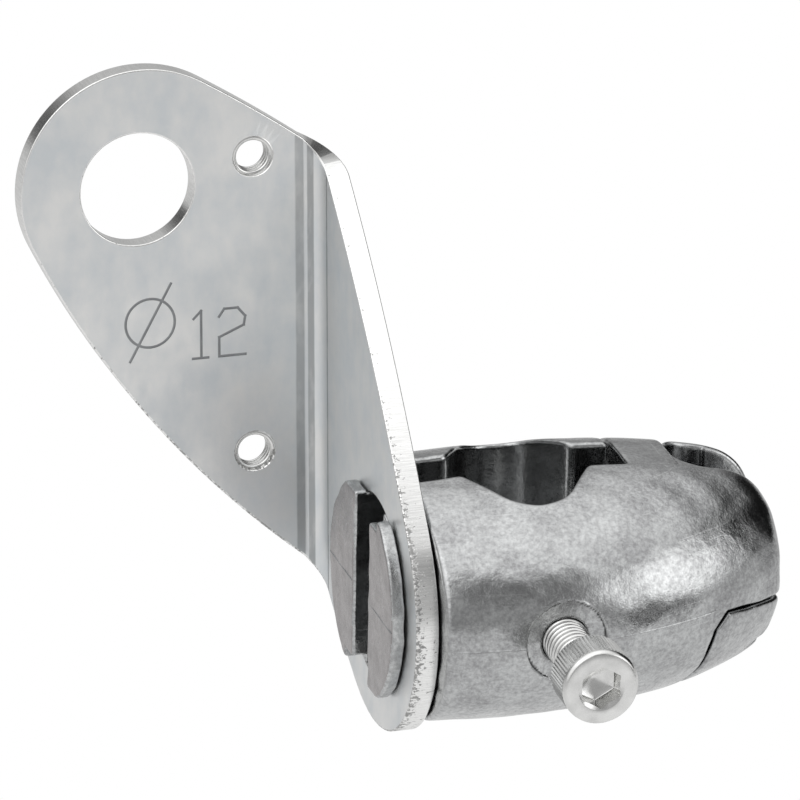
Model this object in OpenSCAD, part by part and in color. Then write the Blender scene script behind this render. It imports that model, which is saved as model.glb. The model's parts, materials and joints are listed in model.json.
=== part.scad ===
// Rod clamp with a bent sensor plate. Two half shells are spread by one screw that presses
// on the rod, and their split hub locks the plate that swivels on it.
// The rod stands along Z at the origin, the shells lie along X, the screw enters along Y.

/* [Rod and seat] */
// Diameter of the rod that the clamp holds
rod_d = 12; // [8:0.5:16]
// Radial clearance between the rod and its seat
rod_clearance = 0.05; // [0:0.01:0.2]
// How deep the rod's axis lies inside the rear shell, from its parting face
seat_drop = 1.9; // [1:0.1:4]
// Angle of the seat that stays round, the rest opens as a straight V
seat_wrap = 116; // [110:1:150]
// Gap between the two shells in the locked state
shell_gap = 6.7; // [3:0.1:8]

/* [Shells] */
// Screw axis to the free end of the shells
shell_end = 33; // [27:0.1:45]
// Screw axis to the end of the shells at the plate
shell_start = 15.4; // [12.5:0.1:20]
// Half height of the shells at the screw
shell_half_h = 16.3; // [13.5:0.1:22]
// Radius of the arched top and bottom outline
crown_r = 197; // [120:1:400]
// Depth of the front shell from its parting face
front_depth = 19.9; // [16.5:0.1:26]
// Radius of the front shell's bulge in plan
front_bulge_r = 56; // [42:1:120]
// Radius of the front shell's nose, seen from its end
front_nose_r = 15; // [11:0.1:16]
// Depth of the rear shell from its parting face
rear_depth = 15.4; // [13:0.1:16]
// Radius of the rear shell's bulge in plan
rear_bulge_r = 74; // [50:1:150]
// Radius of the rounded free end
end_round = 9.5; // [6:0.5:12]
// Taper of the shells towards the free end, in degrees
end_taper = 13; // [10:0.5:20]
// How far the front shell's rounded end is set to the front
end_shift = 1.5; // [0:0.1:3]

/* [Hooks] */
// Screw axis to the near side of the front shell's hook
hook_x = 13.7; // [11.5:0.1:16]
// Width of the front shell's hook
hook_w = 7.2; // [5:0.1:9]
// Thickness of the hooks' arms, measured from the crown
hook_arm = 6.8; // [4:0.1:8]
// Parting face to the catch of a hook
hook_catch = 5.2; // [4:0.1:7]
// Mid plane to the tip of the front shell's hook
hook_tip = 2; // [1:0.1:4]
// Clearance round the hooks
hook_gap = 0.3; // [0.2:0.05:0.5]
// Free room beside the front shell's hook
hook_room = 0.9; // [0.5:0.1:1.5]
// Fillet between the front shell's hook and its parting face
hook_fillet = 4; // [2:0.5:5]
// Screw axis to the near side of the rear shell's finger
finger_x = 22.1; // [19:0.1:25]
// Mid plane to the upper edge of the rear shell's finger
finger_drop = 1.3; // [0.8:0.1:4]

/* [Hub] */
// Radius of the hub in the plate's round hole
hub_r = 12.42; // [10:0.01:13]
// Radial clearance of the hub in the plate
hub_clearance = 0.08; // [0.02:0.01:0.1]
// How far the hub's flange reaches past the plate's hole
flange_lip = 1.75; // [1:0.05:3]
// Thickness of the hub's flange
flange_t = 1.8; // [1.2:0.1:3]
// Play of the plate on each face
plate_play = 0.2; // [0.1:0.05:0.4]
// How much the hub is flattened at its top and bottom
hub_flat = 0.25; // [0.2:0.05:1]
// Height of the lowered step in the flange, from the flat
step_h = 1.4; // [0.5:0.1:3]
// Length of the lowered step, from the parting face
step_l = 3.1; // [2:0.1:5]

/* [Clamp screw] */
// Nominal diameter of the screw
screw_d = 6; // [5:0.5:8]
// Radial clearance that stands for the thread
thread_clearance = 0.05; // [0.02:0.01:0.1]
// Length of the screw under its head
screw_len = 25; // [20:1:30]
// Diameter of the screw's head
head_d = 10; // [8:0.5:13]
// Height of the screw's head
head_h = 6; // [4:0.5:8]
// Width across the flats of the hex socket
socket_af = 5; // [4:0.5:6]
// Depth of the hex socket
socket_depth = 3; // [2:0.5:4]
// Free thread between the head and the spot face
screw_out = 9.5; // [1:0.1:12]
// Diameter of the spot face round the tapped hole
spot_d = 10.6; // [8.5:0.1:14]
// Depth of the spot face below the shell's bulge
spot_depth = 1.1; // [0.3:0.1:2]

/* [Mounting plate] */
// Sheet thickness
plate_t = 3; // [2:0.5:4]
// Inside radius of the bend
bend_r = 2.5; // [1.5:0.5:5]
// Swivel axis to the inner face of the sensor flange
bend_reach = 24; // [21:0.5:30]
// Angle at which the plate is locked on the hub
plate_swing = -3.6; // [-180:0.1:180]
// Radius of the sheet's edge round the hub
hub_eye_r = 18.5; // [15.5:0.1:24]
// Radius of the sheet's edge round the sensor hole
sensor_eye_r = 16; // [13:0.1:20]
// How far that edge is set back from the hole towards the bend
sensor_eye_back = 0.5; // [0:0.1:2]
// Radius of the long upper edge of the sheet
upper_edge_r = 190; // [100:1:400]
// Radius of the long lower edge of the sheet
lower_edge_r = 133; // [90:1:400]

/* [Sensor holes] */
// Diameter of the sensor hole
sensor_d = 15; // [10:0.5:18.5]
// Bend to the centre of the sensor hole
sensor_x = 22; // [18:0.5:30]
// Height of the sensor hole above the swivel axis
sensor_z = 48.5; // [40:0.5:60]
// Core diameter of the tapped holes
tap_d = 4.2; // [3.3:0.1:5.2]
// Depth of the countersink on the tapped holes
tap_sink = 0.65; // [0.3:0.05:1]
// Bend to the centres of the tapped holes
tap_x = 6.6; // [5.5:0.1:9]
// Height of the lower tapped hole above the swivel axis
tap_z = 11.5; // [9.5:0.5:16]
// Spacing of the tapped holes
tap_pitch = 40; // [33:1:42]

/* [Size mark] */
// Height of the engraved rod size
mark_h = 6.6; // [4:0.1:8]
// Width of the engraved line
mark_w = 0.3; // [0.2:0.05:0.6]
// Depth of the engraved line
mark_depth = 0.15; // [0.05:0.05:0.4]
// Bend to the right side of the mark
mark_x = 7.8; // [6:0.1:12]
// Height of the mark's foot above the swivel axis
mark_z = 24.9; // [20:0.1:30]

/* [Hidden] */
far = 80;
lap = 0.5;
// Between the parting faces the hooks' arms lie this far under the outline
seam_step = 0.2;
gap_half = shell_gap / 2;
seat_r = rod_d / 2 + rod_clearance;
// The rod's axis is the origin, the swivel axis lies this far in front of it
rod_back = gap_half + seat_drop;
front_nose = front_depth + gap_half;
rear_nose = rear_depth + gap_half;
bulge_x = -3;
// The bulged bars stand a little over the arched outline, so that the outline trims them
over = 0.15;
bar_h = shell_half_h + over;
// The front nose runs out into flatter arcs at the top and bottom
flank_r = (pow(front_depth - front_nose_r, 2) + pow(bar_h, 2) - pow(front_nose_r, 2))
    / (2 * (bar_h - front_nose_r));
flank_k = flank_r - bar_h;
crown_z = crown_r - shell_half_h;
// The rounded end is tangent to the arched outline
end_x = shell_end - end_round;
end_cr = sqrt(pow(crown_r - end_round, 2) - pow(end_x - bulge_x, 2)) - crown_z;
taper_x = end_x + end_round * sin(end_taper);
taper_r = end_cr + end_round * cos(end_taper);
spot_y = -(front_nose - spot_depth);
head_y = spot_y - screw_out;
plate_x1 = -shell_start - plate_play;
plate_x0 = plate_x1 - plate_t;
flange_x1 = plate_x0 - plate_play;
flange_x0 = flange_x1 - flange_t;
hub_hole_r = hub_r + hub_clearance;
flange_r = hub_hole_r + flange_lip;
flat_z = hub_r - hub_flat;
hook_x1 = hook_x + hook_w;
hook_floor = shell_half_h - hook_arm;
catch_y = gap_half + hook_catch;
room_x1 = hook_x1 + hook_room;
// The sheet laid flat: s runs from the swivel axis along the sheet, through the bend
bend_s = bend_reach - bend_r;
bend_x = plate_x0 - bend_r;
bend_len = 90 * PI / 180 * (bend_r + 0.45 * plate_t);
sensor_s = bend_s + bend_len + sensor_x;
// Centres of the long edges, each edge is tangent to the two round ends
eye_s = sensor_s - sensor_eye_back;
eye_d = norm([eye_s, sensor_z]);
eye_a = atan2(sensor_z, eye_s);

function edge_centre(r, side) =
    let (a = r - hub_eye_r, b = r - sensor_eye_r)
    let (u = (a * a - b * b + eye_d * eye_d) / (2 * eye_d))
    let (v = -side * sqrt(a * a - u * u))
    [u * cos(eye_a) - v * sin(eye_a), u * sin(eye_a) + v * cos(eye_a)];

upper_c = edge_centre(upper_edge_r, 1);
lower_c = edge_centre(lower_edge_r, -1);

function upper_z(s) = upper_c[1] + sqrt(pow(upper_edge_r, 2) - pow(s - upper_c[0], 2));
function lower_z(s) = lower_c[1] - sqrt(pow(lower_edge_r, 2) - pow(s - lower_c[0], 2));

// Moves a shape from the swivel axis to the frame of the rod
module on_axis() {
    translate([0, -rod_back, 0]) children();
}

// Box from one corner to the other
module span(a, b) {
    translate(a) cube(b - a);
}

// Extrudes an outline of x and z from y = a to y = b
module along_y(a, b) {
    translate([0, b, 0]) rotate([90, 0, 0]) linear_extrude(b - a) children();
}

// End view of the front shell's bar: a round nose between two flatter flanks
module nose_profile() {
    nose_c = [front_depth - front_nose_r, 0];
    t = [nose_c[0], flank_k] / norm([nose_c[0], flank_k]) * flank_r - [0, flank_k];
    union() {
        translate(nose_c) circle(r = front_nose_r, $fn = 96);
        intersection() {
            translate([0, flank_k]) circle(r = flank_r, $fn = 180);
            translate([0, -flank_k]) circle(r = flank_r, $fn = 180);
            polygon([
                nose_c,
                nose_c + (t - nose_c) * 3,
                [-far, 3 * far],
                [-far, -3 * far],
                nose_c + [t[0] - nose_c[0], -t[1]] * 3
            ]);
        }
    }
}

// The same outline turned into a bar that is bent in plan on a circle
module bulged_bar(depth, bulge_r) {
    translate([bulge_x, bulge_r - depth - gap_half, 0])
        rotate_extrude($fn = 360)
            intersection() {
                translate([bulge_r - depth, 0]) children();
                translate([0, -far]) square([2 * far, 2 * far]);
            }
}

// Half profile of the tapered and rounded free end, radius along x, length along y
module end_profile() {
    intersection() {
        union() {
            translate([end_cr, end_x]) circle(r = end_round, $fn = 96);
            square([end_cr, shell_end]);
            polygon([
                [0, -far],
                [taper_r + (taper_x + far) * tan(end_taper), -far],
                [taper_r, taper_x],
                [0, taper_x]
            ]);
        }
        translate([0, -far - 1]) square([far, 2 * far + shell_end]);
    }
}

// Tapered body with a rounded end, for a shell that lies in front of its parting face
module end_cap(shift) {
    intersection() {
        translate([0, -gap_half - shift, 0]) rotate([0, 90, 0])
            rotate(90) rotate_extrude($fn = 360) end_profile();
        span([-far, -far, -far], [far, -gap_half, far]);
    }
}

// Side outline of the closed pair, x across and z up
module side_outline(step = 0) {
    intersection() {
        translate([bulge_x, -crown_z - step]) circle(r = crown_r, $fn = 720);
        translate([bulge_x, crown_z + step]) circle(r = crown_r, $fn = 720);
        translate([-shell_start, -far]) square([shell_start + shell_end, 2 * far]);
    }
}

// The arched outline turned to a half barrel about an axis at the height axis_z
module turned_crown(axis_z) {
    translate([0, -gap_half, axis_z])
        rotate([180, 0, 0]) rotate([0, 90, 0])
            rotate_extrude(angle = 180, $fn = 360)
                intersection() {
                    translate([abs(axis_z) - crown_z, bulge_x]) circle(r = crown_r, $fn = 720);
                    translate([0, -shell_start]) square([far, shell_start + shell_end]);
                }
}

module front_form() {
    intersection() {
        turned_crown(flank_k);
        turned_crown(-flank_k);
        end_cap(end_shift);
        bulged_bar(front_depth, front_bulge_r) nose_profile();
    }
}

module rear_form() {
    mirror([0, 1, 0])
        intersection() {
            turned_crown(0);
            end_cap(0);
            bulged_bar(rear_depth, rear_bulge_r)
                translate([rear_depth - bar_h, 0]) circle(r = bar_h, $fn = 96);
        }
}

// The gap between the shells, filled out to the same outline
module gap_form() {
    intersection() {
        along_y(-gap_half, gap_half) side_outline(seam_step);
        along_y(-gap_half, gap_half)
            union() {
                for (side = [0, 1])
                    mirror([0, side]) rotate(-90)
                        translate([-1.5, -1.5] * seam_step) end_profile();
            }
    }
}

// Seat of one shell: round at the bottom, opening as a straight V
module seat_groove() {
    half = seat_wrap / 2;
    tx = seat_r * sin(half);
    ty = seat_r * cos(half);
    out = seat_drop + ty + 1;
    translate([0, 0, -far / 2]) linear_extrude(far)
        translate([0, gap_half + seat_drop])
            union() {
                intersection() {
                    circle(r = seat_r, $fn = 96);
                    translate([-far, ty]) square([2 * far, far]);
                }
                polygon([
                    [-tx, ty],
                    [tx, ty],
                    [tx + out * cos(half) / sin(half), ty - out],
                    [-tx - out * cos(half) / sin(half), ty - out]
                ]);
        }
}

// Half hub with its flange, on the side of negative y
module half_hub() {
    intersection() {
        rotate([0, 90, 0])
            union() {
                translate([0, 0, flange_x0]) cylinder(r = flange_r, h = flange_t, $fn = 180);
                translate([0, 0, flange_x1 - lap])
                    cylinder(r = hub_r, h = lap + plate_t + 2 * plate_play + lap, $fn = 180);
            }
        span([-far, -far, -flat_z], [far, -gap_half, flat_z]);
    }
}

module flange_step() {
    span([-far, -gap_half - step_l, flat_z - step_h], [flange_x1, 0, far]);
}

// Plan of the front shell's hook, x across and y back
module hook_plan() {
    translate([hook_x, -gap_half]) square([hook_w, far]);
    difference() {
        translate([hook_x1 - lap, -gap_half]) square([hook_fillet + lap, hook_fillet]);
        translate([hook_x1 + hook_fillet, -gap_half + hook_fillet])
            circle(r = hook_fillet, $fn = 48);
    }
}

// Plan of the room for it in the rear shell
module hook_room_plan() {
    translate([hook_x - hook_gap, 0]) square([room_x1 - hook_x + hook_gap, far]);
    difference() {
        translate([room_x1 - lap, 0])
            square([hook_fillet + lap, gap_half + hook_fillet]);
        translate([room_x1 + hook_fillet, gap_half + hook_fillet])
            circle(r = hook_fillet, $fn = 48);
    }
}

// Side outline of the rear shell's finger, grown by g
module finger_outline(g) {
    top = -finger_drop + g;
    polygon([
        [finger_x + 1.7 - 0.7 * g, top],
        [far, top - 0.14 * (far - finger_x)],
        [far, -far],
        [finger_x - 6.5 - g, -far],
        [finger_x - 4.4 - g, -shell_half_h],
        [finger_x - 1.1 - g, -hook_floor + 0.4],
        [finger_x - g, -finger_drop - 2]
    ]);
}

module rear_half_shell() {
    color([0.55, 0.56, 0.57])
    on_axis()
    union() {
        difference() {
            union() {
                rear_form();
                mirror([0, 1, 0]) half_hub();
            }
            seat_groove();
            mirror([0, 1, 0]) mirror([0, 0, 1]) flange_step();
            translate([0, 0, hook_floor - hook_gap]) linear_extrude(far) hook_room_plan();
            intersection() {
                translate([0, 0, hook_tip - hook_gap]) linear_extrude(far) hook_room_plan();
                span([-far, catch_y - hook_gap, -far], [far, far, far]);
            }
        }
        intersection() {
            union() {
                front_form();
                gap_form();
            }
            along_y(-far, gap_half) finger_outline(0);
            union() {
                span([-far, -far, -far], [far, far, -hook_floor]);
                span([-far, -far, -far], [far, -catch_y, far]);
            }
        }
    }
}

module front_half_shell() {
    color([0.6, 0.61, 0.62])
    on_axis()
    union() {
        difference() {
            union() {
                front_form();
                half_hub();
                translate([0, spot_y, 0])
                    rotate([-90, 0, 0]) cylinder(d = spot_d, h = 4, $fn = 90);
            }
            mirror([0, 1, 0]) seat_groove();
            flange_step();
            translate([0, spot_y, 0])
                rotate([90, 0, 0]) cylinder(d = spot_d, h = far, $fn = 90);
            rotate([90, 0, 0])
                cylinder(r = screw_d / 2 + thread_clearance, h = far, $fn = 60);
            along_y(-far, -catch_y + hook_gap) finger_outline(hook_gap);
            intersection() {
                along_y(-far, 0) finger_outline(hook_gap);
                span([-far, -far, -far], [far, far, -hook_floor + hook_gap]);
            }
        }
        intersection() {
            union() {
                gap_form();
                rear_form();
            }
            linear_extrude(far) hook_plan();
            union() {
                span([-far, -far, hook_floor], [far, far, far]);
                span([-far, catch_y, hook_tip], [far, far, far]);
            }
        }
    }
}

module clamp_screw() {
    rim = 0.4;
    color([0.75, 0.75, 0.76])
    on_axis()
    translate([0, head_y, 0])
    rotate([-90, 0, 0])
    difference() {
        union() {
            translate([0, 0, -head_h]) cylinder(d1 = head_d - 2 * rim, d2 = head_d, h = rim, $fn = 90);
            translate([0, 0, rim - head_h]) cylinder(d = head_d, h = head_h - rim, $fn = 90);
            translate([0, 0, -lap]) cylinder(d = screw_d, h = screw_len - 0.8 + lap, $fn = 60);
            translate([0, 0, screw_len - 0.8])
                cylinder(d1 = screw_d, d2 = screw_d - 1.6, h = 0.8, $fn = 60);
        }
        translate([0, 0, -head_h - 1])
            rotate(30) cylinder(d = socket_af / cos(30), h = socket_depth + 1, $fn = 6);
        translate([0, 0, -head_h - 0.01])
            cylinder(d1 = socket_af / cos(30) + 0.2, d2 = socket_af - 0.4, h = 0.45, $fn = 60);
        translate([0, 0, socket_depth - head_h - 0.01])
            cylinder(d1 = socket_af - 0.2, d2 = 0.2, h = 1, $fn = 60);
    }
}

// Outline of the sheet laid flat: two round ends joined by two long arcs
module sheet_outline() {
    hub_c = [0, 0];
    eye_c = [eye_s, sensor_z];
    uh = (hub_c - upper_c) / norm(hub_c - upper_c) * 3 * hub_eye_r;
    ue = (eye_c - upper_c) / norm(eye_c - upper_c) * 3 * hub_eye_r;
    lh = (hub_c - lower_c) / norm(hub_c - lower_c) * 3 * hub_eye_r;
    le = (eye_c - lower_c) / norm(eye_c - lower_c) * 3 * hub_eye_r;
    union() {
        circle(r = hub_eye_r, $fn = 180);
        translate(eye_c) circle(r = sensor_eye_r, $fn = 180);
        intersection() {
            translate(upper_c) circle(r = upper_edge_r, $fn = 720);
            translate(lower_c) circle(r = lower_edge_r, $fn = 720);
            polygon([hub_c, hub_c + uh, eye_c + ue, eye_c, eye_c + le, hub_c + lh]);
        }
    }
}

// The bend: the strip between the two long edges, rolled round the bend's axis
module bend_strip() {
    n = 10;
    r0 = bend_r;
    r1 = bend_r + plate_t;
    pts = [
        for (i = [0 : n])
            let (a = 90 * i / n, s = bend_s + bend_len * i / n)
            for (p = [[r0, lower_z(s)], [r1, lower_z(s)], [r1, upper_z(s)], [r0, upper_z(s)]])
                [p[0] * cos(a), p[0] * sin(a), p[1]]
    ];
    sides = [
        for (i = [0 : n - 1])
            for (k = [0 : 3])
                let (a = 4 * i + k, b = 4 * i + (k + 1) % 4)
                for (f = [[a, b, a + 4], [b, b + 4, a + 4]]) f
    ];
    ends = [[2, 1, 0], [3, 2, 0], [4 * n, 4 * n + 1, 4 * n + 2], [4 * n, 4 * n + 2, 4 * n + 3]];
    polyhedron(points = pts, faces = concat(sides, ends));
}

// A stroke of the engraved mark from a to b
module stroke(a, b) {
    d = b - a;
    translate([a[0], 0, a[1]]) rotate([0, -atan2(d[1], d[0]), 0])
        translate([-mark_w / 2, 0, -mark_w / 2])
            cube([norm(d) + mark_w, 2 * mark_depth, mark_w]);
}

// Engraved rod size: a crossed ring, a one and a two
module size_mark() {
    u = mark_h / 6.6;
    mirror([1, 0, 0])
    translate([mark_x, bend_reach - mark_depth, mark_z])
    scale([u, 1, u]) {
        translate([12.7, 0, 5.4]) rotate([-90, 0, 0])
            difference() {
                cylinder(r = 3.28 + mark_w / 2, h = 2 * mark_depth, $fn = 60);
                translate([0, 0, -1]) cylinder(r = 3.28 - mark_w / 2, h = 3, $fn = 60);
            }
        stroke([9.9, 10.5], [15.4, 0.4]);
        stroke([6.9, 5.4], [5.9, 6.4]);
        stroke([5.9, 6.4], [5.9, 0]);
        stroke([7, 0], [5, 0]);
        stroke([3.5, 5.4], [2.8, 6.4]);
        stroke([2.8, 6.4], [1, 6.4]);
        stroke([1, 6.4], [0, 5.2]);
        stroke([0, 5.2], [0.2, 4]);
        stroke([0.2, 4], [3.5, 2.6]);
        stroke([3.5, 2.6], [3.5, 0]);
        stroke([3.5, 0], [0, 0]);
    }
}

module mounting_plate() {
    tap_r = tap_d / 2;
    color([0.72, 0.74, 0.77])
    on_axis()
    rotate([plate_swing, 0, 0])
    difference() {
        union() {
            // flange on the hub
            intersection() {
                translate([plate_x0, 0, 0])
                    rotate([90, 0, 90]) linear_extrude(plate_t) sheet_outline();
                span([-far, -far, -far], [far, bend_s, far]);
            }
            // flange of the sensor
            intersection() {
                translate([bend_x + bend_s + bend_len, bend_reach + plate_t, 0])
                    rotate([90, 0, 0]) linear_extrude(plate_t)
                        mirror([1, 0]) sheet_outline();
                span([-far, -far, -far], [bend_x, far, far]);
            }
            translate([bend_x, bend_s, 0]) bend_strip();
        }
        rotate([0, 90, 0]) translate([0, 0, -far / 2])
            cylinder(r = hub_hole_r, h = far, $fn = 180);
        translate([bend_x - sensor_x, bend_s, sensor_z])
            rotate([-90, 0, 0]) cylinder(d = sensor_d, h = far, $fn = 120);
        for (k = [0, 1])
            translate([bend_x - tap_x, bend_reach, tap_z + k * tap_pitch]) {
                translate([0, -1, 0]) rotate([-90, 0, 0]) cylinder(r = tap_r, h = far, $fn = 60);
                translate([0, -0.01, 0]) rotate([-90, 0, 0])
                    cylinder(r1 = tap_r + tap_sink, r2 = tap_r, h = tap_sink, $fn = 60);
                translate([0, plate_t - tap_sink + 0.01, 0]) rotate([-90, 0, 0])
                    cylinder(r1 = tap_r, r2 = tap_r + tap_sink, h = tap_sink, $fn = 60);
            }
        translate([bend_x, 0, 0]) size_mark();
    }
}

rear_half_shell();
front_half_shell();
clamp_screw();
mounting_plate();
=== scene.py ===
"""Looks of a rod clamp with a bent sensor plate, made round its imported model."""

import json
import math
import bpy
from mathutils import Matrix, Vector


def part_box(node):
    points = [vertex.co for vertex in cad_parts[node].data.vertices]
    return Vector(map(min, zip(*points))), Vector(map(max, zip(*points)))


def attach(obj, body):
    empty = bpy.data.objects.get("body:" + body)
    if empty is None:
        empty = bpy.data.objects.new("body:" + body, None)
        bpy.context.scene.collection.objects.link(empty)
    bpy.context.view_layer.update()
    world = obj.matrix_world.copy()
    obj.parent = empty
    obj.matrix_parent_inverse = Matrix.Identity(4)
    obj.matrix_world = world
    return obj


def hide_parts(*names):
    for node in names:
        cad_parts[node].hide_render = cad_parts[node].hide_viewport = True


bl_info = {
    "name": "Rod clamp with sensor plate",
    "version": (1, 0, 0),
    "blender": (4, 5, 0),
    "location": "View3D > Sidebar > Rod clamp",
    "description": "Makes the shells, the screw and the plate of a rod clamp with their finishes",
    "category": "Object",
}

import bmesh
import bpy
import numpy as np
from bpy.props import FloatProperty, FloatVectorProperty, IntProperty, PointerProperty
from mathutils import Matrix, Vector
from mathutils.geometry import delaunay_2d_cdt

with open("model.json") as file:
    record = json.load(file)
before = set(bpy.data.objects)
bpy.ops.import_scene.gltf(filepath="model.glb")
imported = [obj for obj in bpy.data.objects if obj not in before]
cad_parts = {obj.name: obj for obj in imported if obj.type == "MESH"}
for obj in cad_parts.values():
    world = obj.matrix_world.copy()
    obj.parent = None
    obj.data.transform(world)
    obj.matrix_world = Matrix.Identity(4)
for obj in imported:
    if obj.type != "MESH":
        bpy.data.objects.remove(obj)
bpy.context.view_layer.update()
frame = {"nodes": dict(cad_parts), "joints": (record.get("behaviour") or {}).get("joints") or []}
MM = 0.001
SEAM = 0.2  # mm, blend between the hub, its flange and the shell
SMALL = 0.3  # mm, rounding of small cut-outs and of the arms' roots
SWIVEL = next(j for j in frame["joints"] if j["name"] == "plate_swivel")
AXIS_Y = SWIVEL["pos_m"][1]
SCREW_LOW, SCREW_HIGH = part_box("clamp_screw")


# ---------------------------------------------------------------- sizes and colours


def length(name, size, text):
    """A length given in millimetres, as a property in metres."""
    return FloatProperty(name=name, description=text, default=size * MM, unit="LENGTH", precision=5)


def angle(name, degrees, text):
    return FloatProperty(
        name=name, description=text, default=math.radians(degrees), subtype="ANGLE"
    )


def factor(name, value, text):
    return FloatProperty(name=name, description=text, default=value, min=0, max=1, subtype="FACTOR")


def colour(name, value, text):
    return FloatVectorProperty(
        name=name, description=text, default=value, min=0, max=1, size=3, subtype="COLOR"
    )


class ClampShellSizes(bpy.types.PropertyGroup):
    rod_d: length("Rod", 12, "Diameter of the rod that the clamp holds")
    rod_clearance: length("Rod clearance", 0.05, "Clearance between the rod and its seat")
    seat_drop: length("Seat drop", 1.9, "Depth of the rod's axis below the parting face")
    seat_wrap: angle("Seat wrap", 116, "Angle of the seat that stays round")
    shell_gap: length("Gap", 6.7, "Gap between the two shells")
    shell_end: length("Free end", 33, "Screw axis to the free end of the shells")
    shell_start: length("Plate end", 15.4, "Screw axis to the shells' end at the plate")
    shell_half_h: length("Half height", 16.3, "Half height of the shells at the screw")
    crown_r: length("Crown radius", 197, "Radius of the arched top and bottom outline")
    front_depth: length("Front depth", 19.9, "Depth of the front shell")
    front_bulge_r: length("Front bulge", 56, "Radius of the front shell's bulge in plan")
    front_nose_r: length("Front nose", 15, "Radius of the front shell's nose")
    rear_depth: length("Rear depth", 15.4, "Depth of the rear shell")
    rear_bulge_r: length("Rear bulge", 74, "Radius of the rear shell's bulge in plan")
    end_round: length("End radius", 9.5, "Radius of the rounded free end")
    end_taper: angle("End taper", 13, "Taper of the shells towards the free end")
    end_shift: length("End shift", 1.5, "How far the front shell's end is set forwards")
    bulge_x: length("Widest place", -3, "Screw axis to the widest place of the bulge")
    net: length("Net", 0.27, "Size of the faces that the cast shells are made of")
    crease: length("Crease blend", 1.4, "How far the shells' large faces blend")
    edge: length("Edge radius", 0.75, "Rounding of the cast edges")
    fine: length("Fine edge radius", 0.5, "Rounding of the hub's and the boss's edges")
    wave: length("Unevenness", 0.016, "Height of the cast faces' unevenness")
    flash: length("Parting line", 0.16, "Radius of the bead on the parting line")
    flash_drop: length("Parting line drop", 0.3, "Mid plane to the parting line")


class ClampHookSizes(bpy.types.PropertyGroup):
    hook_x: length("Hook", 13.7, "Screw axis to the near side of the front shell's hook")
    hook_w: length("Hook width", 7.2, "Width of the front shell's hook")
    hook_arm: length("Hook arm", 6.8, "Thickness of the hooks' arms")
    hook_catch: length("Hook catch", 5.2, "Parting face to the catch of a hook")
    hook_tip: length("Hook tip", 2, "Mid plane to the tip of the front shell's hook")
    hook_gap: length("Hook clearance", 0.3, "Clearance round the hooks")
    hook_room: length("Hook room", 0.9, "Free room beside the front shell's hook")
    hook_fillet: length("Hook fillet", 4, "Fillet between the hook and its parting face")
    finger_x: length("Finger", 22.1, "Screw axis to the near side of the rear shell's finger")
    finger_drop: length("Finger drop", 1.3, "Mid plane to the upper edge of the finger")


class ClampHubSizes(bpy.types.PropertyGroup):
    hub_r: length("Hub radius", 12.42, "Radius of the hub in the plate's round hole")
    hub_clearance: length("Hub clearance", 0.08, "Clearance of the hub in the plate")
    flange_lip: length("Flange lip", 1.75, "How far the hub's flange reaches past the hole")
    flange_t: length("Flange", 1.8, "Thickness of the hub's flange")
    plate_play: length("Play", 0.2, "Play of the plate on each face")
    hub_flat: length("Hub flat", 0.25, "How much the hub is flattened")
    step_h: length("Step height", 1.4, "Height of the lowered step in the flange")
    step_l: length("Step length", 3.1, "Length of the lowered step")


class ClampScrewSizes(bpy.types.PropertyGroup):
    screw_d: length("Screw", 6, "Nominal diameter of the screw")
    screw_pitch: length("Pitch", 1, "Pitch of the screw's thread")
    screw_core: length("Core", 4.9, "Core diameter of the screw's thread")
    head_d: length("Head", 10, "Diameter of the screw's head")
    head_h: length("Head height", 6, "Height of the screw's head")
    socket_af: length("Socket", 5, "Width across the flats of the hex socket")
    socket_depth: length("Socket depth", 3, "Depth of the hex socket")
    knurl_depth: length("Knurl depth", 0.14, "Depth of the knurl on the head")
    knurl_count: IntProperty(name="Knurl", description="Number of ridges", default=66, min=12)
    spot_d: length("Spot face", 10.6, "Diameter of the spot face round the tapped hole")
    spot_depth: length("Spot depth", 1.1, "Depth of the spot face below the bulge")
    spot_boss: length("Boss", 4, "Length of the boss behind the spot face")


class ClampPlateSizes(bpy.types.PropertyGroup):
    plate_t: length("Sheet", 3, "Thickness of the sheet")
    bend_r: length("Bend", 2.5, "Inside radius of the bend")
    bend_reach: length("Reach", 24, "Swivel axis to the inner face of the sensor flange")
    plate_swing: angle("Swing", -3.6, "Angle at which the plate is locked on the hub")
    hub_eye_r: length("Hub end", 18.5, "Radius of the sheet's edge round the hub")
    sensor_eye_r: length("Sensor end", 16, "Radius of the edge round the sensor hole")
    sensor_eye_back: length("Set back", 0.5, "How far that edge is set back from the hole")
    upper_edge_r: length("Upper edge", 190, "Radius of the long upper edge")
    lower_edge_r: length("Lower edge", 133, "Radius of the long lower edge")
    sensor_d: length("Sensor hole", 15, "Diameter of the sensor hole")
    sensor_x: length("Sensor place", 22, "Bend to the centre of the sensor hole")
    sensor_z: length("Sensor height", 48.5, "Height of the sensor hole above the swivel axis")
    tap_d: length("Tapped hole", 4.2, "Core diameter of the tapped holes")
    tap_root: length("Thread root", 5.0, "Outer diameter of the tapped holes' thread")
    tap_lead: length("Tap pitch", 0.8, "Pitch of the tapped holes' thread")
    tap_sink: length("Countersink", 0.65, "Depth of the tapped holes' countersink")
    tap_x: length("Tap place", 6.6, "Bend to the centres of the tapped holes")
    tap_z: length("Tap height", 11.5, "Height of the lower tapped hole")
    tap_pitch: length("Tap spacing", 40, "Spacing of the tapped holes")
    face_edge: length("Cut edge", 0.16, "Rounding of the cut edge on the inner face")
    mark_w: length("Mark line", 0.34, "Width of the engraved line")
    mark_depth: length("Mark depth", 0.10, "Depth of the engraved line")
    mark_x: length("Mark place", 7.8, "Bend to the right side of the mark")
    mark_z: length("Mark height", 24.9, "Height of the mark's foot above the swivel axis")


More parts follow.
